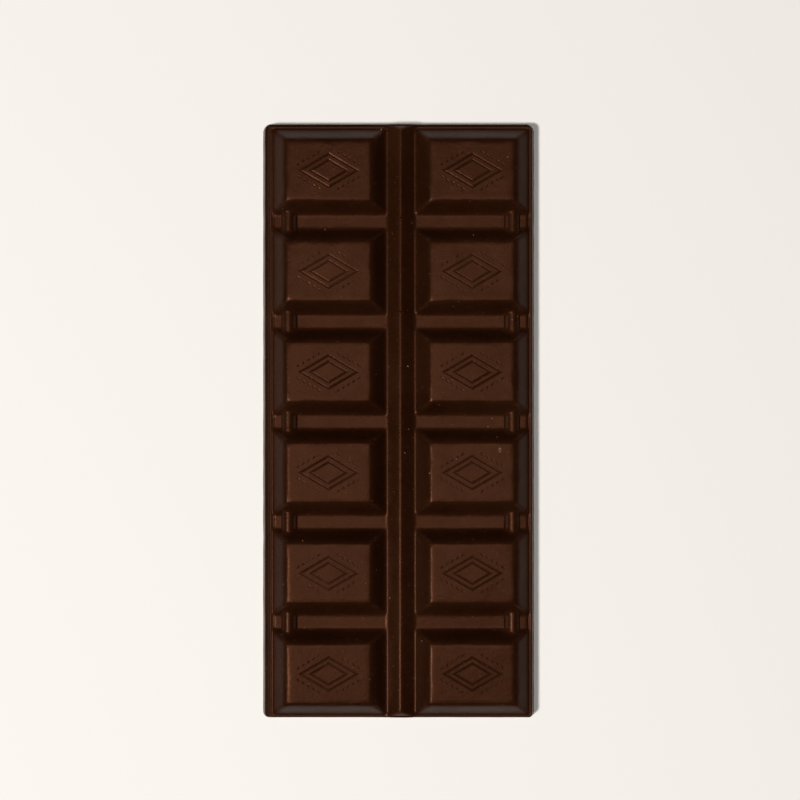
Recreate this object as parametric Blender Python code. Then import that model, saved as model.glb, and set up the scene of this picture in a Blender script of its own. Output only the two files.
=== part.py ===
"""Moulded bar of dark chocolate, lying on its flat back with the patterned face up.

One solid: a drafted slab with a rounded rim, two columns of six raised pillows, a roof-shaped
ridge between the columns, a half-round bead at the outer end of every cross groove, and two
nested rhombic grooves pressed into the top of each pillow. X runs across the bar, Y along it
and Z up. The origin is at the middle of the flat back.
"""

import math

import bmesh
import bpy
from mathutils import Vector

MM = 0.001

# The slab
LENGTH = 160.0 * MM
WIDTH = 73.0 * MM
SLAB_HEIGHT = 4.6 * MM
WALL_DRAFT = 0.7 * MM
RIM_ROUND = 0.5 * MM
BACK_ROUND = 0.2 * MM
FAR_CORNER_RADIUS = 1.7 * MM
NEAR_CORNER_RADIUS = 1.0 * MM
CORNER_STEPS = 5
RIM_STEPS = 3

# The pillows
ROWS = 6
COLUMNS = 2
ROW_PITCH = 26.7 * MM
COLUMN_PITCH = 38.1 * MM
PILLOW_RISE = 4.0 * MM
PILLOW_TOP_WIDTH = 22.8 * MM
PILLOW_TOP_LENGTH = 16.4 * MM
PILLOW_SLOPE_WIDTH = 3.6 * MM
PILLOW_SLOPE_LENGTH = 3.0 * MM
PILLOW_EDGE_ROUND = 0.8 * MM
PILLOW_EDGE_STEPS = 3
ROOT_DEPTH = 1.0 * MM

# The face pattern sits this far off the slab's middle
PATTERN_OFFSET = Vector((0.6 * MM, -0.3 * MM, 0.0))

# The centre ridge
RIDGE_HALF_WIDTH = 3.2 * MM
RIDGE_RISE = 2.0 * MM
RIDGE_CREST_ROUND = 0.35 * MM
RIDGE_CREST_STEPS = 2
RIDGE_END_MARGIN = 1.4 * MM
RIDGE_END_DRAFT = 1.0 * MM

# The beads at the ends of the cross grooves
BEAD_WIDTH = 3.7 * MM
BEAD_RISE = 1.4 * MM
BEAD_LENGTH = 7.6 * MM
BEAD_STEPS = 24
BEAD_INSET = 4.0 * MM

# The nested rhombic grooves: width and length of each along its diagonals
RHOMBUS_DIAGONALS = ((15.4 * MM, 8.8 * MM), (9.5 * MM, 5.8 * MM))
GROOVE_WIDTH = 0.6 * MM
GROOVE_DEPTH = 0.3 * MM

COCOA_BROWN = (0.050, 0.018, 0.008, 1.0)
COCOA_ROUGHNESS = 0.42


def clear_scene():
    for obj in list(bpy.data.objects):
        bpy.data.objects.remove(obj)


def cocoa_material():
    material = bpy.data.materials.new("dark_chocolate")
    material.use_nodes = True
    shader = material.node_tree.nodes["Principled BSDF"]
    shader.inputs["Base Color"].default_value = COCOA_BROWN
    shader.inputs["Roughness"].default_value = COCOA_ROUGHNESS
    shader.inputs["Metallic"].default_value = 0.0
    return material


def object_from(bm, name, helper):
    """Puts the bmesh in a new object. A helper stays out of the model."""
    bmesh.ops.recalc_face_normals(bm, faces=bm.faces)
    mesh = bpy.data.meshes.new(name)
    bm.to_mesh(mesh)
    bm.free()
    obj = bpy.data.objects.new(name, mesh)
    bpy.context.scene.collection.objects.link(obj)
    if helper:
        obj.hide_render = True
        obj.display_type = "WIRE"
    return obj


def combine(body, helper, operation):
    modifier = body.modifiers.new(helper.name, "BOOLEAN")
    modifier.operation = operation
    modifier.solver = "EXACT"
    modifier.object = helper


def rounded_outline(inset):
    """The slab's outline, drawn in by an inset, as points in the XY plane."""
    half_width = WIDTH / 2 - inset
    half_length = LENGTH / 2 - inset
    corners = (
        (1, 1, FAR_CORNER_RADIUS),
        (-1, 1, FAR_CORNER_RADIUS),
        (-1, -1, NEAR_CORNER_RADIUS),
        (1, -1, NEAR_CORNER_RADIUS),
    )
    points = []
    for index, (side_x, side_y, radius) in enumerate(corners):
        radius = max(radius - inset / 2, RIM_ROUND)
        centre = Vector((side_x * (half_width - radius), side_y * (half_length - radius)))
        for step in range(CORNER_STEPS + 1):
            angle = math.radians(90) * (index + step / CORNER_STEPS)
            points.append(centre + radius * Vector((math.cos(angle), math.sin(angle))))
    return points


def slab_levels():
    """(height, inset) of each ring of the side wall, from the back to the rim."""
    levels = [(0.0, BACK_ROUND), (BACK_ROUND, 0.0)]
    for step in range(RIM_STEPS + 1):
        angle = math.radians(90) * step / RIM_STEPS
        height = SLAB_HEIGHT - RIM_ROUND * (1 - math.sin(angle))
        inset = WALL_DRAFT + RIM_ROUND * (1 - math.cos(angle))
        levels.append((height, inset))
    return levels


def make_slab():
    bm = bmesh.new()
    rings = []
    for height, inset in slab_levels():
        rings.append([bm.verts.new((x, y, height)) for x, y in rounded_outline(inset)])
    for lower, upper in zip(rings, rings[1:]):
        count = len(lower)
        for i in range(count):
            j = (i + 1) % count
            bm.faces.new((lower[i], lower[j], upper[j], upper[i]))
    bm.faces.new(rings[0])
    bm.faces.new(rings[-1])
    return object_from(bm, "chocolate_bar", helper=False)


def row_centres():
    return [(row - (ROWS - 1) / 2) * ROW_PITCH for row in range(ROWS)]


def column_centres():
    return [(column - (COLUMNS - 1) / 2) * COLUMN_PITCH for column in range(COLUMNS)]


def pillow_centres():
    return [Vector((x, y, 0)) + PATTERN_OFFSET for x in column_centres() for y in row_centres()]


def add_frustum(bm, centre, bottom, top, low, high):
    """Adds a four-sided frustum and returns the corners of its top."""
    made = bmesh.ops.create_cube(bm, size=2.0)["verts"]
    top_corners = [vert for vert in made if vert.co.z > 0]
    for vert in made:
        (half_x, half_y), height = (top, high) if vert in top_corners else (bottom, low)
        vert.co = Vector((centre.x + vert.co.x * half_x, centre.y + vert.co.y * half_y, height))
    return top_corners


def edges_with(bm, corners, ends):
    """The edges with this many of their ends among the corners, or more."""
    return [edge for edge in bm.edges if sum(vert in corners for vert in edge.verts) >= ends]


def round_edges(bm, edges, radius, steps):
    bmesh.ops.bevel(
        bm,
        geom=edges,
        offset=radius,
        segments=steps,
        profile=0.5,
        affect="EDGES",
        material=-1,
    )


def make_pillows():
    """Frusta whose slopes run on below the slab's face, so that the union takes them in."""
    run_on = 1 + ROOT_DEPTH / PILLOW_RISE
    top = (PILLOW_TOP_WIDTH / 2, PILLOW_TOP_LENGTH / 2)
    bottom = (top[0] + PILLOW_SLOPE_WIDTH * run_on, top[1] + PILLOW_SLOPE_LENGTH * run_on)
    low = SLAB_HEIGHT - ROOT_DEPTH
    high = SLAB_HEIGHT + PILLOW_RISE
    bm = bmesh.new()
    for centre in pillow_centres():
        top_corners = add_frustum(bm, centre, bottom, top, low, high)
        round_edges(bm, edges_with(bm, top_corners, 1), PILLOW_EDGE_ROUND, PILLOW_EDGE_STEPS)
    return object_from(bm, "pillows", helper=True)


def make_ridge():
    """A roof between the two columns, hipped at both ends."""
    run_on = 1 + ROOT_DEPTH / RIDGE_RISE
    half_length = LENGTH / 2 - RIDGE_END_MARGIN
    half_crest = half_length - RIDGE_END_DRAFT
    half_foot = half_crest + RIDGE_END_DRAFT * run_on
    low = SLAB_HEIGHT - ROOT_DEPTH
    high = SLAB_HEIGHT + RIDGE_RISE
    bm = bmesh.new()
    centre = Vector((PATTERN_OFFSET.x, 0, 0))
    foot = (RIDGE_HALF_WIDTH * run_on, half_foot)
    crest = (RIDGE_CREST_ROUND, half_crest)
    top_corners = add_frustum(bm, centre, foot, crest, low, high)
    round_edges(bm, edges_with(bm, top_corners, 2), RIDGE_CREST_ROUND / 2, RIDGE_CREST_STEPS)
    return object_from(bm, "ridge", helper=True)


def make_beads():
    """Cylinders lying along Y, sunk so that only their backs show above the groove floor."""
    radius = (BEAD_WIDTH**2 / 4 + BEAD_RISE**2) / (2 * BEAD_RISE)
    height = SLAB_HEIGHT + BEAD_RISE - radius
    outer_foot = COLUMN_PITCH / 2 + PILLOW_TOP_WIDTH / 2 + PILLOW_SLOPE_WIDTH
    rows = row_centres()
    bm = bmesh.new()
    for near, far in zip(rows, rows[1:]):
        for side in (-1, 1):
            made = bmesh.ops.create_cone(
                bm,
                cap_ends=True,
                segments=BEAD_STEPS,
                radius1=radius,
                radius2=radius,
                depth=BEAD_LENGTH,
            )["verts"]
            place = PATTERN_OFFSET + Vector((side * (outer_foot - BEAD_INSET), (near + far) / 2, height))
            for vert in made:
                x, y, z = vert.co
                vert.co = place + Vector((x, z, -y))
    return object_from(bm, "beads", helper=True)


def add_rhombic_groove(bm, centre, half_width, half_length):
    """A closed ring of triangular section, point down, that follows a rhombus."""
    face = SLAB_HEIGHT + PILLOW_RISE
    side = math.hypot(half_width, half_length)
    # Moving a rhombus's sides out by some distance grows its diagonals by this much for each unit
    grow_x = side / half_length
    grow_y = side / half_width
    section = ((-GROOVE_WIDTH, GROOVE_DEPTH), (0.0, -GROOVE_DEPTH), (GROOVE_WIDTH, GROOVE_DEPTH))
    rings = []
    for step_x, step_y in ((1, 0), (0, 1), (-1, 0), (0, -1)):
        ring = []
        for out, up in section:
            x = centre.x + step_x * (half_width + out * grow_x)
            y = centre.y + step_y * (half_length + out * grow_y)
            ring.append(bm.verts.new((x, y, face + up)))
        rings.append(ring)
    for i, ring in enumerate(rings):
        following = rings[(i + 1) % len(rings)]
        for a in range(len(section)):
            b = (a + 1) % len(section)
            bm.faces.new((ring[a], ring[b], following[b], following[a]))


def make_rhombic_grooves():
    bm = bmesh.new()
    for centre in pillow_centres():
        for width, length in RHOMBUS_DIAGONALS:
            add_rhombic_groove(bm, centre, width / 2, length / 2)
    return object_from(bm, "rhombic_grooves", helper=True)


def build_bar():
    bar = make_slab()
    bar.data.materials.append(cocoa_material())
    combine(bar, make_pillows(), "UNION")
    combine(bar, make_ridge(), "UNION")
    combine(bar, make_beads(), "UNION")
    combine(bar, make_rhombic_grooves(), "DIFFERENCE")


clear_scene()
build_bar()
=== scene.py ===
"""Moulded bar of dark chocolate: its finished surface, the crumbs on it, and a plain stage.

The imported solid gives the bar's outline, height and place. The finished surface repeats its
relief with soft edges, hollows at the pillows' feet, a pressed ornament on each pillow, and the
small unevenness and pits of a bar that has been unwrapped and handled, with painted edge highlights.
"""

import math
import random

import bmesh
import bpy
from bpy.props import FloatProperty, FloatVectorProperty, IntProperty, PointerProperty
from mathutils import Matrix, Vector, noise


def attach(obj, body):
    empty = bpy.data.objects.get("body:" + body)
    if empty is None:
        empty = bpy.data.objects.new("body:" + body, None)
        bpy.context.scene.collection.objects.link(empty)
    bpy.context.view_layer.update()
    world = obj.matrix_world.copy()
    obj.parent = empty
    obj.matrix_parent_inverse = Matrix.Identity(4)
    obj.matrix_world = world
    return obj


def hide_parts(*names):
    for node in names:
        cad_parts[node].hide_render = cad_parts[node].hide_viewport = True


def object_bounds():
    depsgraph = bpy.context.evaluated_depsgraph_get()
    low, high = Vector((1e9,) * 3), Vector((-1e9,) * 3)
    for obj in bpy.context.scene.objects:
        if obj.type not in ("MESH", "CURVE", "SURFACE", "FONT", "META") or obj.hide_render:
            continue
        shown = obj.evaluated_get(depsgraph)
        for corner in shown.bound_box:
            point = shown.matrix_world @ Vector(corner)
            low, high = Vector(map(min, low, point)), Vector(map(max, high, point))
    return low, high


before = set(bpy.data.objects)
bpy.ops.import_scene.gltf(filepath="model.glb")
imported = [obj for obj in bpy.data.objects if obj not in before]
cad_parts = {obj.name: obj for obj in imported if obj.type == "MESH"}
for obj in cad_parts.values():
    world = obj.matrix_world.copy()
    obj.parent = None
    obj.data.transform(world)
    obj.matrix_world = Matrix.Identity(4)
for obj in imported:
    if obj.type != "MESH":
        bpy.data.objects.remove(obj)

bl_info = {
    "name": "Moulded chocolate bar",
    "version": (1, 0, 0),
    "blender": (4, 5, 0),
    "location": "View3D > Sidebar > Chocolate",
    "description": "Makes a moulded chocolate bar with its crumbs, and a plain stage for it",
    "category": "Object",
}

MM = 0.001
CAD_LOW, CAD_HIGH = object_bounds()
WIDTH = CAD_HIGH.x - CAD_LOW.x
LENGTH = CAD_HIGH.y - CAD_LOW.y
HEIGHT = CAD_HIGH.z - CAD_LOW.z

# The lamps aim at the origin: name, place, side in metres and watts
LAMPS = (
    ("key", (-0.90, -0.465, 1.89), 0.3, 35.5),
    ("top", (0.0, 0.0, 2.2), 0.85, 11.5),
)
LAMP_COLOUR = (1.0, 0.985, 0.97)
FILL_STRENGTH = 0.04

# The floor turns from matt to an even backdrop between these two distances from the origin
FLOOR_HALF_SIDE = 3.0
FLOOR_GAP = 0.02 * MM
MATT_REACH = 0.17
BACKDROP_REACH = 0.6

# The surface's waves: size of a wave and its height
BROAD_WAVE = (7 * MM, 0.035 * MM)
SMALL_WAVE = (1.6 * MM, 0.012 * MM)

# Painted edge highlight: how far away a point is compared with its surroundings, and the step that counts as
# full
HIGHLIGHT_REACH = 0.3 * MM
HIGHLIGHT_FULL = 0.06 * MM

# The pale ring on a pillow of the right column
RING_X = 26.9 * MM
RING_Y = -7.7 * MM
RING_HALF_WIDTH = 0.27 * MM
RING_HALF_LENGTH = 0.52 * MM
RING_THICKNESS = 0.11 * MM


def length_property(name, description, default):
    return FloatProperty(name=name, description=description, default=default, unit="LENGTH", precision=5)


def colour_property(name, description, default):
    return FloatVectorProperty(name=name, description=description, default=default, subtype="COLOR", size=3)


class MouldSettings(bpy.types.PropertyGroup):
    rows: IntProperty(name="Rows", description="Pillows along the bar", default=6)
    columns: IntProperty(name="Columns", description="Pillows across the bar", default=2)
    row_pitch: length_property("Row pitch", "From one pillow to the next along the bar", 26.7 * MM)
    column_pitch: length_property("Column pitch", "From one pillow to the next across", 38.1 * MM)
    pillow_rise: length_property("Pillow rise", "Height of a pillow above the slab", 4.0 * MM)
    pillow_width: length_property("Pillow width", "Width of a pillow's flat top", 22.8 * MM)
    pillow_length: length_property("Pillow length", "Length of a pillow's flat top", 16.4 * MM)
    slope_width: length_property("Side slope", "Width of the slopes that face across", 3.6 * MM)
    slope_length: length_property("End slope", "Width of the slopes that face along", 3.0 * MM)
    edge_softness: length_property("Edge softness", "How far a pillow's top edge is rounded", 0.75 * MM)
    foot_softness: length_property("Foot softness", "How far a pillow's foot is hollowed", 0.42 * MM)
    pattern_x: length_property("Pattern offset X", "How far the pattern sits off the middle", 0.6 * MM)
    pattern_y: length_property("Pattern offset Y", "How far the pattern sits off the middle", -0.3 * MM)
    wall_draft: length_property("Wall draft", "How far the side wall leans in", 0.7 * MM)
    rim_round: length_property("Rim round", "Radius of the rim's outer edge", 0.5 * MM)
    far_corner: length_property("Far corners", "Corner radius at the far end", 1.7 * MM)
    near_corner: length_property("Near corners", "Corner radius at the near end", 1.0 * MM)
    ridge_half_width: length_property("Ridge half width", "Half the width of the centre ridge", 3.2 * MM)
    ridge_rise: length_property("Ridge rise", "Height of the centre ridge above the slab", 2.0 * MM)
    bead_width: length_property("Bead width", "Width of the beads that end the cross grooves", 3.7 * MM)
    bead_rise: length_property("Bead rise", "Height of the beads above the slab", 1.4 * MM)
    bead_inset: length_property("Bead inset", "From the pillows' outer foot to a bead", 4.2 * MM)


class OrnamentSettings(bpy.types.PropertyGroup):
    outer_width: length_property("Outer width", "Width of the outer rhombus", 15.0 * MM)
    outer_length: length_property("Outer length", "Length of the outer rhombus", 8.8 * MM)
    inner_width: length_property("Inner width", "Width of the inner rhombus", 9.4 * MM)
    inner_length: length_property("Inner length", "Length of the inner rhombus", 5.6 * MM)
    groove_width: length_property("Groove width", "Width of the pressed lines", 0.7 * MM)
    groove_depth: length_property("Groove depth", "Depth of the pressed lines", 0.09 * MM)
    dash_count: IntProperty(name="Dashes", description="Dashes beside each side of the rhombus", default=5)
    dash_pitch: length_property("Dash pitch", "From one dash to the next", 1.58 * MM)
    dash_offset: length_property("Dash offset", "From the outer rhombus to its dashes", 1.7 * MM)
    dash_shift: length_property("Dash shift", "How far the dashes sit towards the acute corners", 0.8 * MM)
    dash_length: length_property("Dash length", "Length of one dash", 1.5 * MM)
    dash_width: length_property("Dash width", "Width of one dash", 0.6 * MM)


class FinishSettings(bpy.types.PropertyGroup):
    cocoa: colour_property("Cocoa", "Colour of the chocolate", (0.0160, 0.0041, 0.0011))
    cocoa_pale: colour_property("Pale cocoa", "Colour of its paler patches", (0.0222, 0.0067, 0.0023))
    # Painted highlight colour for the raised edges, and also the colour of the fine dust flecks
    dust_and_highlight: colour_property("Dust and highlight", "Colour of painted edge highlights and fine dust", (0.115, 0.058, 0.042))
    crumb: colour_property("Crumb", "Colour of the loose crumbs", (0.27, 0.155, 0.10))
    crumb_count: IntProperty(name="Crumbs", description="Loose crumbs on the patterned face", default=70)
    crumb_radius: length_property("Crumb radius", "Radius of the largest crumb", 0.21 * MM)


class StageSettings(bpy.types.PropertyGroup):
    floor: colour_property("Floor", "Colour of the floor round the bar", (0.965, 0.935, 0.89))
    backdrop: colour_property("Backdrop", "Colour of the background", (0.939, 0.905, 0.855))
    lens: FloatProperty(name="Lens", description="Focal length of the camera in millimetres", default=78.0)
    camera_x: length_property("Camera X", "The camera's place across the bar", 0.4 * MM)
    camera_y: length_property("Camera Y", "The camera's place along the bar", 5.56 * MM)
    camera_height: length_property("Camera height", "The camera's height above the floor", 467.7 * MM)


# Shaping the relief


def smooth_min(a, b, softness):
    """The lower of two heights, with the corner between them rounded."""
    mix = max(softness - abs(a - b), 0.0) / softness
    return min(a, b) - mix * mix * softness / 4


def smooth_max(a, b, softness):
    return -smooth_min(-a, -b, softness)


def fine_noise(x, y, size, seed):
    """Smooth noise between -1 and 1 whose bumps are about this size."""
    return noise.noise(Vector((x / size, y / size, seed)))


class Relief:
    """The height of the patterned face, worked out from the mould's sizes."""

    def __init__(self, mould):
        self.mould = mould
        self.slab = HEIGHT - mould.pillow_rise
        self.half_foot_x = mould.pillow_width / 2 + mould.slope_width
        self.half_foot_y = mould.pillow_length / 2 + mould.slope_length
        self.pattern_half_x = mould.column_pitch / 2 + self.half_foot_x
        self.pattern_half_y = mould.row_pitch * (mould.rows - 1) / 2 + self.half_foot_y
        self.steep_x = mould.pillow_rise / mould.slope_width
        self.steep_y = mould.pillow_rise / mould.slope_length
        self.bead_radius = (mould.bead_width**2 / 4 + mould.bead_rise**2) / (2 * mould.bead_rise)
        self.bead_x = self.pattern_half_x - mould.bead_inset
        self.tilts = self.pillow_tilts()

    def pillow_tilts(self):
        """A small lean along X and Y and a small lift for each pillow."""
        chance = random.Random(11)
        count = self.mould.rows * self.mould.columns
        lean, lift = 0.004, 0.05 * MM
        return [
            (chance.uniform(-lean, lean), chance.uniform(-lean, lean), chance.uniform(-lift, 0.0))
            for _ in range(count)
        ]

    def centres(self):
        mould = self.mould
        for column in range(mould.columns):
            for row in range(mould.rows):
                x = (column - (mould.columns - 1) / 2) * mould.column_pitch + mould.pattern_x
                y = (row - (mould.rows - 1) / 2) * mould.row_pitch + mould.pattern_y
                yield x, y

    def pillow(self, x, y):
        """Height above the slab of the pillow nearest to a point of the pattern."""
        mould = self.mould
        column = 0 if x < 0 else 1
        row = min(max(round(y / mould.row_pitch + (mould.rows - 1) / 2), 0), mould.rows - 1)
        dx = x - (column - (mould.columns - 1) / 2) * mould.column_pitch
        dy = y - (row - (mould.rows - 1) / 2) * mould.row_pitch
        lean_x, lean_y, lift = self.tilts[column * mould.rows + row]
        softness = mould.edge_softness * 1.6 * (1 + 0.35 * fine_noise(x, y, 4 * MM, 3.0))
        across = self.steep_x * (self.half_foot_x - abs(dx))
        along = self.steep_y * (self.half_foot_y - abs(dy))
        slopes = smooth_min(across, along, 1.5 * mould.edge_softness)
        top = mould.pillow_rise - 0.06 * MM + lift + lean_x * dx + lean_y * dy
        return smooth_min(top, slopes, softness)

    def ridge(self, x, y):
        mould = self.mould
        steep = mould.ridge_rise / mould.ridge_half_width
        crest = 0.5 * MM
        roof = mould.ridge_rise - steep * (math.hypot(x, crest) - crest)
        end = 1.6 * (LENGTH / 2 - 0.9 * MM - abs(y + mould.pattern_y))
        return smooth_min(roof, end, 0.8 * MM)

    def bead(self, x, y):
        """Height above the slab of the bead at the outer end of a cross groove."""
        mould = self.mould
        inside = abs(y) < mould.row_pitch * (mould.rows - 1) / 2
        dx = abs(abs(x) - self.bead_x)
        if not inside or dx >= self.bead_radius:
            return -mould.pillow_rise
        return mould.bead_rise - self.bead_radius + math.sqrt(self.bead_radius**2 - dx * dx)

    def edging(self, x, y):
        """The hollow line round the pillows' outer feet, and the lip outside it that falls away."""
        past = max(abs(x) - self.pattern_half_x, abs(y) - self.pattern_half_y)
        hollow = 0.22 * MM * math.exp(-(((past - 0.1 * MM) / (0.38 * MM)) ** 2))
        lip = 0.12 * MM * math.exp(-(((past - 0.95 * MM) / (0.4 * MM)) ** 2))
        fall = 0.75 * max(past - 0.6 * MM, 0.0)
        return lip - hollow - fall

    def height(self, world_x, world_y):
        mould = self.mould
        x = world_x - mould.pattern_x
        y = world_y - mould.pattern_y
        ripple = BROAD_WAVE[1] * fine_noise(x, y, BROAD_WAVE[0], 1.0)
        ripple += SMALL_WAVE[1] * fine_noise(x, y, SMALL_WAVE[0], 2.0)
        ground = self.edging(x, y)
        ground = smooth_max(ground, self.bead(x, y), 0.25 * MM)
        ground = smooth_max(ground, self.ridge(x, y), 0.45 * MM)
        rise = smooth_max(ground, self.pillow(x, y), mould.foot_softness * 2)
        return self.slab + rise + ripple


# Building the bar's mesh


def spread(start, stop, step):
    """Evenly spaced values from start up to, but not at, stop."""
    count = max(round((stop - start) / step), 1)
    return [start + (stop - start) * i / count for i in range(count)]


def profile_lines(marks):
    """Grid lines through spans of (start, step), the last of which only ends the row."""
    lines = []
    for (start, step), (stop, _) in zip(marks, marks[1:]):
        lines += spread(start, stop, step)
    return lines + [marks[-1][0]]


def lines_across(relief, edge):
    """Grid lines across the bar: close together at each edge, foot and crest."""
    mould = relief.mould
    near_foot = mould.column_pitch / 2 - relief.half_foot_x
    near_top = near_foot + mould.slope_width
    far_foot = relief.pattern_half_x
    far_top = far_foot - mould.slope_width
    fine, medium, coarse = 0.16 * MM, 0.4 * MM, 0.75 * MM
    half = [
        (0.0, 0.12 * MM),
        (0.5 * MM, medium),
        (mould.ridge_half_width - 0.4 * MM, fine),
        (near_foot + 0.5 * MM, medium),
        (near_top - 0.6 * MM, fine),
        (near_top + 0.7 * MM, coarse),
        (far_top - 0.7 * MM, fine),
        (far_top + 0.6 * MM, medium),
        (far_foot - 0.5 * MM, fine),
    ]
    right = half + [(edge - mould.pattern_x, fine)]
    left = half + [(edge + mould.pattern_x, fine)]
    positive = [x + mould.pattern_x for x in profile_lines(right)]
    negative = [mould.pattern_x - x for x in profile_lines(left)]
    return sorted(negative[1:]) + positive


def lines_along(relief, edge):
    """Grid lines along the bar, worked out one row after the other."""
    mould = relief.mould
    fine, medium, coarse = 0.2 * MM, 0.45 * MM, 0.8 * MM
    half_top = mould.pillow_length / 2
    marks = [(-edge, 0.3 * MM)]
    for row in range(mould.rows):
        centre = (row - (mould.rows - 1) / 2) * mould.row_pitch + mould.pattern_y
        marks += [
            (centre - relief.half_foot_y - 0.3 * MM, fine),
            (centre - relief.half_foot_y + 0.5 * MM, medium),
            (centre - half_top - 0.5 * MM, fine),
            (centre - half_top + 0.7 * MM, coarse),
            (centre + half_top - 0.7 * MM, fine),
            (centre + half_top + 0.5 * MM, medium),
            (centre + relief.half_foot_y - 0.5 * MM, fine),
            (centre + relief.half_foot_y + 0.3 * MM, medium),
        ]
    return profile_lines(marks + [(edge, medium)])


def round_corner(x, y, half_x, half_y, radius):
    """Draws a point near a square corner in, so that the corner becomes an arc."""
    u = (abs(x) - half_x) / radius + 1
    v = (abs(y) - half_y) / radius + 1
    if u <= 0 or v <= 0:
        return x, y
    shrink = max(u, v) / math.hypot(u, v)
    x = math.copysign(half_x + radius * (u * shrink - 1), x)
    y = math.copysign(half_y + radius * (v * shrink - 1), y)
    return x, y


def lay_face(bm, relief):
    """The patterned face: a grid with its lines where the relief needs them, raised to it."""
    mould = relief.mould
    inset = mould.wall_draft + mould.rim_round
    half_x = WIDTH / 2 - inset
    half_y = LENGTH / 2 - inset
    xs = lines_across(relief, half_x)
    ys = lines_along(relief, half_y)
    made = bmesh.ops.create_grid(bm, x_segments=len(xs) - 1, y_segments=len(ys) - 1, size=1.0)
    for vert in made["verts"]:
        i = round((vert.co.x + 1) / 2 * (len(xs) - 1))
        j = round((vert.co.y + 1) / 2 * (len(ys) - 1))
        radius = (mould.far_corner if ys[j] > 0 else mould.near_corner) - inset / 2
        x, y = round_corner(xs[i], ys[j], half_x, half_y, radius)
        vert.co = Vector((x, y, relief.height(x, y)))


def wall_levels(relief):
    """(height share of the slab, inset) of each ring of the wall, from the rim to the back."""
    mould = relief.mould
    levels = []
    rim_steps = 3
    for step in range(1, rim_steps + 1):
        angle = math.radians(90) * step / rim_steps
        height = relief.slab - mould.rim_round * (1 - math.cos(angle))
        levels.append((height, mould.wall_draft + mould.rim_round * (1 - math.sin(angle))))
    levels.append((relief.slab * 0.45, mould.wall_draft * 0.5))
    levels.append((0.25 * MM, 0.0))
    levels.append((0.0, 0.25 * MM))
    return levels


def outward(x, y, half_x, half_y, radius):
    """The direction straight out of the bar at a point of the face's outline."""
    core_x = min(max(x, radius - half_x), half_x - radius)
    core_y = min(max(y, radius - half_y), half_y - radius)
    return Vector((x - core_x, y - core_y)).normalized()


def extrude_rim(bm, verts_at):
    """Extrudes the open edges once, and moves each new corner to where verts_at sends it."""
    open_edges = [edge for edge in bm.edges if edge.is_boundary]
    made = bmesh.ops.extrude_edge_only(bm, edges=open_edges)["geom"]
    for vert in made:
        if isinstance(vert, bmesh.types.BMVert):
            vert.co = verts_at(vert.co)


def close_body(bm, relief):
    """The side wall, the rounded lower edge and the back with its shallow hollow."""
    mould = relief.mould
    inset = mould.wall_draft + mould.rim_round
    half_x = WIDTH / 2 - inset
    half_y = LENGTH / 2 - inset
    before, last = inset, relief.slab
    for height, now in wall_levels(relief):
        out, sink = before - now, height / last

        def to_ring(point, height=height, out=out, now=now, sink=sink):
            radius = (mould.far_corner if point.y > 0 else mould.near_corner) - now / 2
            way = outward(point.x, point.y, half_x + inset - before, half_y + inset - before, radius)
            wave = 0.03 * MM * fine_noise(point.x + point.y, height * 3, 5 * MM, 5.0)
            step = out + (wave if 0 < height < relief.slab * 0.9 else 0.0)
            return Vector((point.x + way.x * step, point.y + way.y * step, point.z * sink))

        extrude_rim(bm, to_ring)
        before, last = now, max(height, 0.01 * MM)
    for share, depth in ((0.965, 0.0), (0.93, 0.12 * MM)):
        extrude_rim(bm, lambda point: Vector((point.x * share, point.y * (1 - (1 - share) / 2), depth)))
    bmesh.ops.holes_fill(bm, edges=[edge for edge in bm.edges if edge.is_boundary], sides=0)


def mesh_object(bm, name):
    bmesh.ops.recalc_face_normals(bm, faces=bm.faces)
    mesh = bpy.data.meshes.new(name)
    bm.to_mesh(mesh)
    bm.free()
    obj = bpy.data.objects.new(name, mesh)
    bpy.context.scene.collection.objects.link(obj)
    return obj


# The pressed ornament

RHOMBUS_CORNERS = ((1, 0), (0, 1), (-1, 0), (0, -1))
CUT_SLOT = 1


def rhombus(half_width, half_length, steps):
    """Points along the sides of a rhombus about the origin, some to each side."""
    corners = [Vector((half_width * x, half_length * y)) for x, y in RHOMBUS_CORNERS]
    points = []
    for i, start in enumerate(corners):
        points += [start.lerp(corners[(i + 1) % 4], step / steps) for step in range(steps)]
    return points


def groove_ring(bm, relief, centre, half_width, half_length, width, depth):
    """A closed ring of triangular section, point down, that follows the pillow's surface."""
    side = math.hypot(half_width, half_length)
    reach, rise = 0.7 * width, 0.4 * depth
    rings = []
    for out, up in ((-reach, rise), (0.0, -depth), (reach, rise)):
        ring = []
        wide = half_width + out * side / half_length
        long = half_length + out * side / half_width
        for point in rhombus(wide, long, 6):
            x, y = centre + point
            ring.append(bm.verts.new((x, y, relief.height(x, y) + up)))
        rings.append(ring)
    for line, following in zip(rings, rings[1:] + rings[:1]):
        for i, corner in enumerate(line):
            j = (i + 1) % len(line)
            bm.faces.new((corner, line[j], following[j], following[i]))


def dent(bm, relief, x, y, angle, length, width, depth):
    """A spindle that lies half sunk in the surface, turned by an angle from the X axis."""
    place = Matrix.Translation((x, y, relief.height(x, y))) @ Matrix.Rotation(angle, 4, "Z")
    shape = place @ Matrix.Diagonal((length / 2, width / 2, depth, 1.0))
    bmesh.ops.create_icosphere(bm, subdivisions=1, radius=1.0, matrix=shape)


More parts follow.
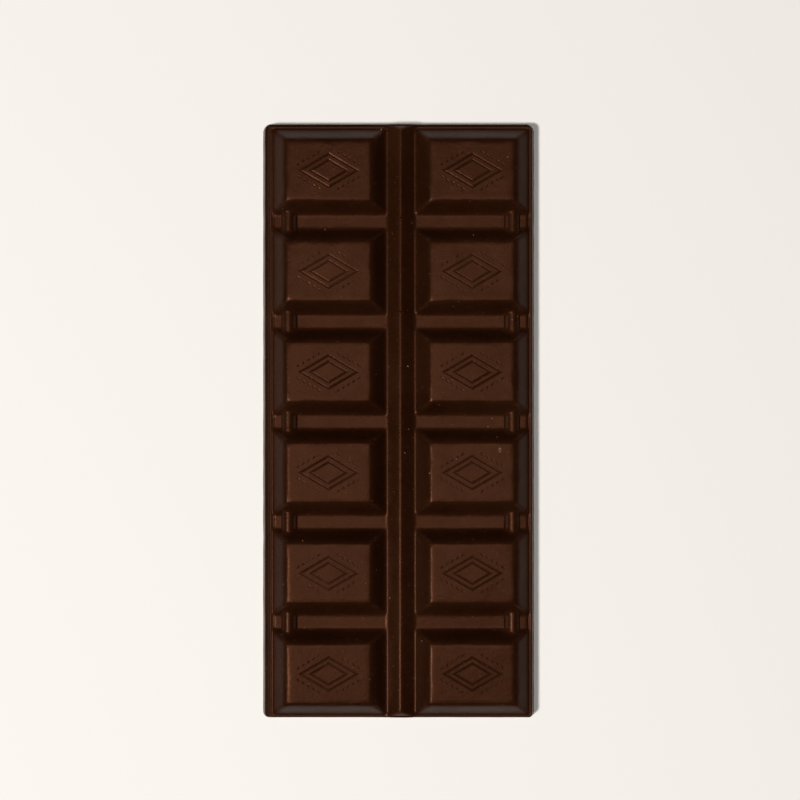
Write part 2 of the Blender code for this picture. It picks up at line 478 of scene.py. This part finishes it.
def dash_rows(bm, relief, centre, ornament, chance, depth):
    """The slanted dashes outside each side of the rhombus, steeper than the side itself."""
    half_width, half_length = ornament.outer_width / 2, ornament.outer_length / 2
    lean = math.atan2(half_length, half_width)
    for side_x in (-1, 1):
        for side_y in (-1, 1):
            along = Vector((side_x * math.cos(lean), -side_y * math.sin(lean)))
            out = Vector((side_x * math.sin(lean), side_y * math.cos(lean)))
            middle = centre + Vector((side_x * half_width, side_y * half_length)) / 2
            middle += out * ornament.dash_offset + along * ornament.dash_shift
            slant = -side_x * side_y * math.radians(50)
            for i in range(ornament.dash_count):
                x, y = middle + along * (i - (ornament.dash_count - 1) / 2) * ornament.dash_pitch
                sunk = depth * chance.uniform(0.7, 1.5)
                dent(bm, relief, x, y, slant, ornament.dash_length, ornament.dash_width, sunk)


def paint_edge_highlight(mesh, relief):
    """Stores how much painted highlight each point gets, from how far it stands above the surface around it.
    """
    steps = ((HIGHLIGHT_REACH, 0), (-HIGHLIGHT_REACH, 0), (0, HIGHLIGHT_REACH), (0, -HIGHLIGHT_REACH))
    edge_highlight = mesh.attributes.new("edge_highlight", "FLOAT", "POINT")
    values = []
    for vert in mesh.vertices:
        x, y, z = vert.co
        if z < relief.slab * 0.8:
            values.append(0.0)
            continue
        around = [relief.height(x + dx, y + dy) for dx, dy in steps]
        values.append(min(max((relief.height(x, y) - sum(around) / 4) / HIGHLIGHT_FULL, 0.0), 1.0))
    edge_highlight.data.foreach_set("value", values)


# Pits knocked in the surface: X, Y, angle in degrees, length, width and depth, all but the angle in mm
PITS = (
    (0.7, 54.1, 10, 0.9, 0.55, 0.45),
    (0.6, 29.0, -15, 1.0, 0.5, 0.40),
    (0.7, 2.0, 70, 0.7, 0.35, 0.25),
    (27.1, 64.3, 60, 0.9, 0.55, 0.30),
    (-1.0, 63.4, 0, 0.9, 0.8, 0.12),
)


def press_cutter(relief, ornament):
    """Everything that is pressed or knocked into the surface, as one mesh of closed shapes."""
    chance = random.Random(5)
    bm = bmesh.new()
    for x, y in relief.centres():
        centre = Vector((x, y))
        depth = ornament.groove_depth * chance.uniform(0.7, 1.15)
        for width, length in (
            (ornament.outer_width, ornament.outer_length),
            (ornament.inner_width, ornament.inner_length),
        ):
            groove_ring(bm, relief, centre, width / 2, length / 2, ornament.groove_width, depth)
        dash_rows(bm, relief, centre, ornament, chance, depth * 1.1)
    for x, y, angle, length, width, depth in PITS:
        dent(bm, relief, x * MM, y * MM, math.radians(angle), length * MM, width * MM, depth * MM)
    for face in bm.faces:
        face.material_index = CUT_SLOT
    return mesh_object(bm, "press_cutter")


def press(obj, cutter):
    """Cuts one mesh out of another for good."""
    modifier = obj.modifiers.new("press", "BOOLEAN")
    modifier.operation = "DIFFERENCE"
    modifier.solver = "EXACT"
    modifier.use_self = True
    modifier.object = cutter
    bpy.context.view_layer.update()
    evaluated = obj.evaluated_get(bpy.context.evaluated_depsgraph_get())
    mesh = bpy.data.meshes.new_from_object(evaluated)
    obj.modifiers.clear()
    obj.data = mesh
    bpy.data.objects.remove(cutter)


def shade(mesh):
    """Smooth shading that stays crisp along the edges of what was pressed in."""
    bm = bmesh.new()
    bm.from_mesh(mesh)
    for face in bm.faces:
        face.smooth = True
    for edge in bm.edges:
        slots = {face.material_index for face in edge.link_faces}
        limit = math.radians(32 if slots == {0} else 10)
        edge.smooth = edge.calc_face_angle(0.0) < limit
    for face in bm.faces:
        face.material_index = 0
    bm.to_mesh(mesh)
    bm.free()
    mesh.materials.pop(index=CUT_SLOT)


# Materials


def nodes_of(material):
    material.use_nodes = True
    tree = material.node_tree
    return tree, tree.nodes["Principled BSDF"]


def new_group(name, inputs, outputs):
    """A shader node group with named sockets: (name, type, default) in, (name, type) out."""
    group = bpy.data.node_groups.new(name, "ShaderNodeTree")
    for label, kind, default in inputs:
        group.interface.new_socket(label, in_out="INPUT", socket_type=kind).default_value = default
    for label, kind in outputs:
        group.interface.new_socket(label, in_out="OUTPUT", socket_type=kind)
    return group, group.nodes.new("NodeGroupInput"), group.nodes.new("NodeGroupOutput")


def add_noise(tree, vector, scale, detail, roughness):
    node = tree.nodes.new("ShaderNodeTexNoise")
    node.inputs["Scale"].default_value = scale
    node.inputs["Detail"].default_value = detail
    node.inputs["Roughness"].default_value = roughness
    tree.links.new(vector, node.inputs["Vector"])
    return node.outputs["Fac"]


def add_range(tree, value, low, high, to_low, to_high):
    """Maps a value from one range to another and holds it inside."""
    node = tree.nodes.new("ShaderNodeMapRange")
    for socket, number in zip(("From Min", "From Max", "To Min", "To Max"), (low, high, to_low, to_high)):
        node.inputs[socket].default_value = number
    tree.links.new(value, node.inputs["Value"])
    return node.outputs["Result"]


def add_math(tree, operation, first, second):
    node = tree.nodes.new("ShaderNodeMath")
    node.operation = operation
    for socket, value in zip(node.inputs, (first, second)):
        if isinstance(value, (int, float)):
            socket.default_value = value
        else:
            tree.links.new(value, socket)
    return node.outputs["Value"]


def add_mix(tree, factor, first, second):
    node = tree.nodes.new("ShaderNodeMix")
    node.data_type = "RGBA"
    tree.links.new(factor, node.inputs["Factor"])
    for socket, value in ((node.inputs["A"], first), (node.inputs["B"], second)):
        if isinstance(value, tuple):
            socket.default_value = value
        else:
            tree.links.new(value, socket)
    return node.outputs["Result"]


def place_group(tree, group, values):
    node = tree.nodes.new("ShaderNodeGroup")
    node.node_tree = group
    for label, value in values.items():
        node.inputs[label].default_value = value
    coordinates = tree.nodes.new("ShaderNodeTexCoord")
    tree.links.new(coordinates.outputs["Object"], node.inputs["Vector"])
    return node


def cocoa_tone_group():
    """Broad cloudy patches and fine flecks between two tones of chocolate."""
    group, given, result = new_group(
        "cocoa_tone",
        [
            ("Vector", "NodeSocketVector", (0.0, 0.0, 0.0)),
            ("Deep", "NodeSocketColor", (0.0, 0.0, 0.0, 1.0)),
            ("Pale", "NodeSocketColor", (0.0, 0.0, 0.0, 1.0)),
            ("Fleck", "NodeSocketColor", (0.0, 0.0, 0.0, 1.0)),
        ],
        [("Color", "NodeSocketColor")],
    )
    vector = given.outputs["Vector"]
    clouds = add_range(group, add_noise(group, vector, 65.0, 3.0, 0.6), 0.33, 0.67, 0.0, 1.0)
    grain = add_range(group, add_noise(group, vector, 900.0, 2.0, 0.6), 0.3, 0.7, -0.3, 0.3)
    blend = add_math(group, "ADD", clouds, grain)
    tone = add_mix(group, blend, given.outputs["Deep"], given.outputs["Pale"])
    flecks = add_range(group, add_noise(group, vector, 1500.0, 1.0, 0.5), 0.72, 0.82, 0.0, 0.5)
    colour = add_mix(group, flecks, tone, given.outputs["Fleck"])
    group.links.new(colour, result.inputs["Color"])
    return group


def cocoa_grain_group():
    """Height of the fine grain, and the roughness that goes with it."""
    group, given, result = new_group(
        "cocoa_grain",
        [
            ("Vector", "NodeSocketVector", (0.0, 0.0, 0.0)),
            ("Smooth", "NodeSocketFloat", 0.3),
            ("Rough", "NodeSocketFloat", 0.5),
        ],
        [("Height", "NodeSocketFloat"), ("Roughness", "NodeSocketFloat")],
    )
    vector = given.outputs["Vector"]
    coarse = add_noise(group, vector, 1100.0, 2.0, 0.55)
    broad = add_noise(group, vector, 260.0, 2.0, 0.5)
    height = add_math(group, "ADD", coarse, add_math(group, "MULTIPLY", broad, 1.6))
    group.links.new(height, result.inputs["Height"])
    patches = add_range(group, add_noise(group, vector, 140.0, 3.0, 0.6), 0.35, 0.65, 0.0, 1.0)
    spread_out = add_math(group, "SUBTRACT", given.outputs["Rough"], given.outputs["Smooth"])
    rough = add_math(group, "ADD", given.outputs["Smooth"], add_math(group, "MULTIPLY", patches, spread_out))
    group.links.new(rough, result.inputs["Roughness"])
    return group


def cocoa_material(name, groups, tones, gloss, grain_depth):
    """Chocolate in three tones; gloss gives the least and greatest roughness."""
    material = bpy.data.materials.new(name)
    tree, shader = nodes_of(material)
    tone = place_group(tree, groups["tone"], dict(zip(("Deep", "Pale", "Fleck"), tones)))
    grain = place_group(tree, groups["grain"], dict(zip(("Smooth", "Rough"), gloss)))
    bump = tree.nodes.new("ShaderNodeBump")
    bump.inputs["Strength"].default_value = 1.0
    bump.inputs["Distance"].default_value = grain_depth
    tree.links.new(grain.outputs["Height"], bump.inputs["Height"])
    # Painted highlight: raised edges are mixed towards the paler colour in place of the light they catch
    edge_highlight = tree.nodes.new("ShaderNodeAttribute")
    edge_highlight.attribute_name = "edge_highlight"
    painted_highlight = add_range(tree, edge_highlight.outputs["Fac"], 0.45, 1.0, 0.0, 0.3)
    tree.links.new(add_mix(tree, painted_highlight, tone.outputs["Color"], tones[2]), shader.inputs["Base Color"])
    tree.links.new(grain.outputs["Roughness"], shader.inputs["Roughness"])
    tree.links.new(bump.outputs["Normal"], shader.inputs["Normal"])
    shader.inputs["Specular IOR Level"].default_value = 0.17
    shader.inputs["Specular Tint"].default_value = (1.0, 0.40, 0.22, 1.0)
    return material


def chocolate_materials(finish):
    """The bar's own material and the paler one of the crumbs."""
    existing = bpy.data.node_groups
    groups = {
        "tone": existing.get("cocoa_tone") or cocoa_tone_group(),
        "grain": existing.get("cocoa_grain") or cocoa_grain_group(),
    }
    tones = [(*colour, 1.0) for colour in (finish.cocoa, finish.cocoa_pale, finish.dust_and_highlight)]
    crumb_tones = [(*colour, 1.0) for colour in (finish.cocoa_pale, finish.crumb, finish.crumb)]
    bar = cocoa_material("dark_chocolate", groups, tones, (0.30, 0.38), 0.035 * MM)
    crumbs = cocoa_material("chocolate_crumbs", groups, crumb_tones, (0.5, 0.7), 0.01 * MM)
    return bar, crumbs


def plain_material(name, colour, roughness):
    material = bpy.data.materials.new(name)
    _, shader = nodes_of(material)
    shader.inputs["Base Color"].default_value = (*colour, 1.0)
    shader.inputs["Roughness"].default_value = roughness
    return material


def floor_material(colour, backdrop):
    """Matt near the bar, where it takes the shadow, and an even pale backdrop further out."""
    material = plain_material("pale_floor", colour, 0.9)
    tree, shader = nodes_of(material)
    coordinates = tree.nodes.new("ShaderNodeTexCoord")
    length = tree.nodes.new("ShaderNodeVectorMath")
    length.operation = "LENGTH"
    tree.links.new(coordinates.outputs["Object"], length.inputs[0])
    far = add_range(tree, length.outputs["Value"], MATT_REACH, BACKDROP_REACH, 0.0, 1.0)
    rays = tree.nodes.new("ShaderNodeLightPath")
    seen = add_math(tree, "MAXIMUM", rays.outputs["Is Camera Ray"], rays.outputs["Is Glossy Ray"])
    seen = add_math(tree, "MAXIMUM", seen, rays.outputs["Is Transmission Ray"])
    glow = tree.nodes.new("ShaderNodeEmission")
    glow.inputs["Color"].default_value = (*backdrop, 1.0)
    mix = tree.nodes.new("ShaderNodeMixShader")
    tree.links.new(add_math(tree, "MULTIPLY", far, seen), mix.inputs["Fac"])
    tree.links.new(shader.outputs["BSDF"], mix.inputs[1])
    tree.links.new(glow.outputs["Emission"], mix.inputs[2])
    tree.links.new(mix.outputs["Shader"], tree.nodes["Material Output"].inputs["Surface"])
    return material


def surroundings(backdrop, fill):
    """A world that looks pale behind the floor, but adds only a little fill light."""
    world = bpy.data.worlds.new("surroundings")
    world.use_nodes = True
    tree = world.node_tree
    background = tree.nodes["Background"]
    background.inputs["Color"].default_value = (*backdrop, 1.0)
    rays = tree.nodes.new("ShaderNodeLightPath")
    seen = add_math(tree, "MAXIMUM", rays.outputs["Is Camera Ray"], rays.outputs["Is Transmission Ray"])
    tree.links.new(add_range(tree, seen, 0.0, 1.0, fill, 1.0), background.inputs["Strength"])
    return world


# Operators


class CHOCOLATE_OT_bar(bpy.types.Operator):
    """Make the bar's finished surface in place of its plain solid"""

    bl_idname = "chocolate.bar"
    bl_label = "Chocolate bar"

    def execute(self, context):
        scene = context.scene
        relief = Relief(scene.chocolate_mould)
        bm = bmesh.new()
        lay_face(bm, relief)
        close_body(bm, relief)
        bar = mesh_object(bm, "moulded_bar")
        chocolate, _ = chocolate_materials(scene.chocolate_finish)
        for _ in range(CUT_SLOT + 1):
            bar.data.materials.append(chocolate)
        cutter = press_cutter(relief, scene.chocolate_ornament)
        for _ in range(CUT_SLOT + 1):
            cutter.data.materials.append(chocolate)
        press(bar, cutter)
        shade(bar.data)
        paint_edge_highlight(bar.data, relief)
        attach(bar, "root")
        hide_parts("chocolate_bar")
        return {"FINISHED"}


def crumb(bm, relief, x, y, radius, chance):
    """A rough little lump resting on the surface."""
    turn = Matrix.Rotation(chance.uniform(0, math.pi), 4, "Z")
    stretch = Matrix.Diagonal((radius * chance.uniform(0.7, 1.7), radius, radius * 0.7, 1.0))
    place = Matrix.Translation((x, y, relief.height(x, y) + radius * 0.3))
    made = bmesh.ops.create_icosphere(bm, subdivisions=1, radius=1.0, matrix=place @ turn @ stretch)
    for vert in made["verts"]:
        vert.co += Vector([chance.uniform(-0.2, 0.2) * radius for _ in range(3)])


def flake_ring(bm, relief, x, y, half_width, half_length, thickness):
    """A pale oval ring, such as a burst air bubble leaves, half sunk in the surface."""
    made = bmesh.ops.create_circle(bm, segments=6, radius=thickness)["verts"]
    bmesh.ops.rotate(bm, verts=made, matrix=Matrix.Rotation(math.radians(90), 3, "X"))
    bmesh.ops.translate(bm, verts=made, vec=(half_width, 0.0, 0.0))
    edges = list({edge for vert in made for edge in vert.link_edges})
    bmesh.ops.spin(bm, geom=made + edges, axis=(0, 0, 1), steps=14, angle=math.tau, use_merge=True)
    ring = [vert for vert in bm.verts if vert.co.length < half_width + 2 * thickness]
    bmesh.ops.scale(bm, verts=ring, vec=(1.0, half_length / half_width, 1.0))
    bmesh.ops.translate(bm, verts=ring, vec=(x, y, relief.height(x, y)))


class CHOCOLATE_OT_crumbs(bpy.types.Operator):
    """Make the loose crumbs on the bar, and the pale ring on one of its pillows"""

    bl_idname = "chocolate.crumbs"
    bl_label = "Crumbs"

    def execute(self, context):
        scene = context.scene
        finish = scene.chocolate_finish
        relief = Relief(scene.chocolate_mould)
        chance = random.Random(23)
        bm = bmesh.new()
        flake_ring(bm, relief, RING_X, RING_Y, RING_HALF_WIDTH, RING_HALF_LENGTH, RING_THICKNESS)
        reach_x, reach_y = relief.pattern_half_x, relief.pattern_half_y
        for _ in range(finish.crumb_count):
            x, y = chance.uniform(-reach_x, reach_x), chance.uniform(-reach_y, reach_y)
            radius = finish.crumb_radius * chance.uniform(0.5, 1.0) ** 2
            crumb(bm, relief, x, y, radius, chance)
        crumbs = mesh_object(bm, "crumbs")
        crumbs.data.materials.append(chocolate_materials(finish)[1])
        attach(crumbs, "root")
        return {"FINISHED"}


def area_light(name, place, side, watts):
    """A square lamp that aims at the origin."""
    data = bpy.data.lights.new(name, "AREA")
    data.shape = "SQUARE"
    data.size = side
    data.energy = watts
    data.color = LAMP_COLOUR
    light = bpy.data.objects.new(name, data)
    light.location = place
    light.rotation_mode = "QUATERNION"
    light.rotation_quaternion = (-Vector(place)).to_track_quat("-Z", "Y")
    bpy.context.scene.collection.objects.link(light)


class CHOCOLATE_OT_stage(bpy.types.Operator):
    """Make the pale floor, the soft lights and the camera above the bar"""

    bl_idname = "chocolate.stage"
    bl_label = "Stage"

    def execute(self, context):
        scene = context.scene
        settings = scene.chocolate_stage
        bm = bmesh.new()
        bmesh.ops.create_grid(bm, x_segments=1, y_segments=1, size=FLOOR_HALF_SIDE)
        bmesh.ops.translate(bm, verts=bm.verts, vec=(0.0, 0.0, -FLOOR_GAP))
        floor = mesh_object(bm, "floor")
        floor.data.materials.append(floor_material(settings.floor, settings.backdrop))
        for name, place, side, watts in LAMPS:
            area_light(name, place, side, watts)
        scene.world = surroundings(settings.backdrop, FILL_STRENGTH)
        data = bpy.data.cameras.new("camera")
        data.lens = settings.lens
        data.sensor_width = 36.0
        camera = bpy.data.objects.new("camera", data)
        camera.location = (settings.camera_x, settings.camera_y, settings.camera_height)
        scene.collection.objects.link(camera)
        scene.camera = camera
        scene.view_settings.view_transform = "Standard"
        return {"FINISHED"}


class CHOCOLATE_PT_panel(bpy.types.Panel):
    """Lists the pieces of the chocolate bar and its stage"""

    bl_idname = "CHOCOLATE_PT_panel"
    bl_label = "Chocolate bar"
    bl_space_type = "VIEW_3D"
    bl_region_type = "UI"
    bl_category = "Chocolate"

    def draw(self, context):
        for operator in OPERATORS:
            self.layout.operator(operator.bl_idname)
        for name in GROUPS:
            group = getattr(context.scene, name)
            box = self.layout.box()
            for key in group.__annotations__:
                box.prop(group, key)


GROUPS = {
    "chocolate_mould": MouldSettings,
    "chocolate_ornament": OrnamentSettings,
    "chocolate_finish": FinishSettings,
    "chocolate_stage": StageSettings,
}
OPERATORS = (CHOCOLATE_OT_bar, CHOCOLATE_OT_crumbs, CHOCOLATE_OT_stage)


def register():
    for group in GROUPS.values():
        bpy.utils.register_class(group)
    for operator in OPERATORS:
        bpy.utils.register_class(operator)
    bpy.utils.register_class(CHOCOLATE_PT_panel)
    for name, group in GROUPS.items():
        setattr(bpy.types.Scene, name, PointerProperty(type=group))


def unregister():
    for name in GROUPS:
        delattr(bpy.types.Scene, name)
    bpy.utils.unregister_class(CHOCOLATE_PT_panel)
    for operator in reversed(OPERATORS):
        bpy.utils.unregister_class(operator)
    for group in reversed(list(GROUPS.values())):
        bpy.utils.unregister_class(group)


def main():
    register()
    bpy.ops.chocolate.bar()
    bpy.ops.chocolate.crumbs()
    bpy.ops.chocolate.stage()


if __name__ == "__main__":
    main()
